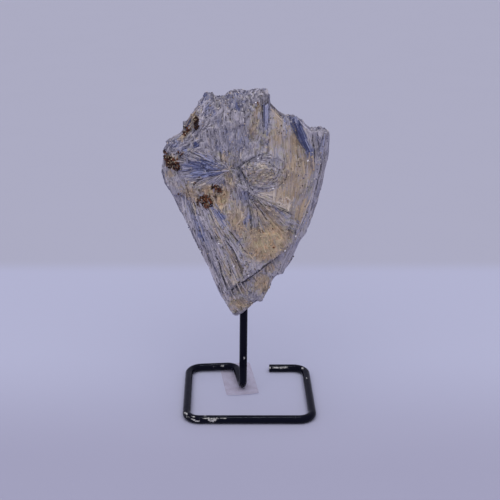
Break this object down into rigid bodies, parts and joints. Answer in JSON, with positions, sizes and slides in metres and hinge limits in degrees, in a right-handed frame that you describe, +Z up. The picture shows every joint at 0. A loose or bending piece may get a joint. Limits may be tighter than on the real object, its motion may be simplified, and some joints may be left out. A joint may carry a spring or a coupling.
{
  "type": "kyanite specimen on a wire stand",
  "caption": "Rough wedge of bladed blue-grey kyanite held upright on the post of a black bent wire stand with an open rectangular base.",
  "frame": {"origin": "on the table, under the centre of the whole object's bounding box", "axes": "+Z up along the post, -Y towards the viewer of the stone's front face, +X to the viewer's right"},
  "size_m": [0.0958, 0.0816, 0.1897],
  "materials": {
    "kyanite": "satin",
    "black_paint": "gloss",
    "label_film": "satin"
  },
  "bodies": {
    "root": {"kyanite": "kyanite", "wire_stand": "black_paint", "blank_label": "label_film"}
  },
  "joints": []
}
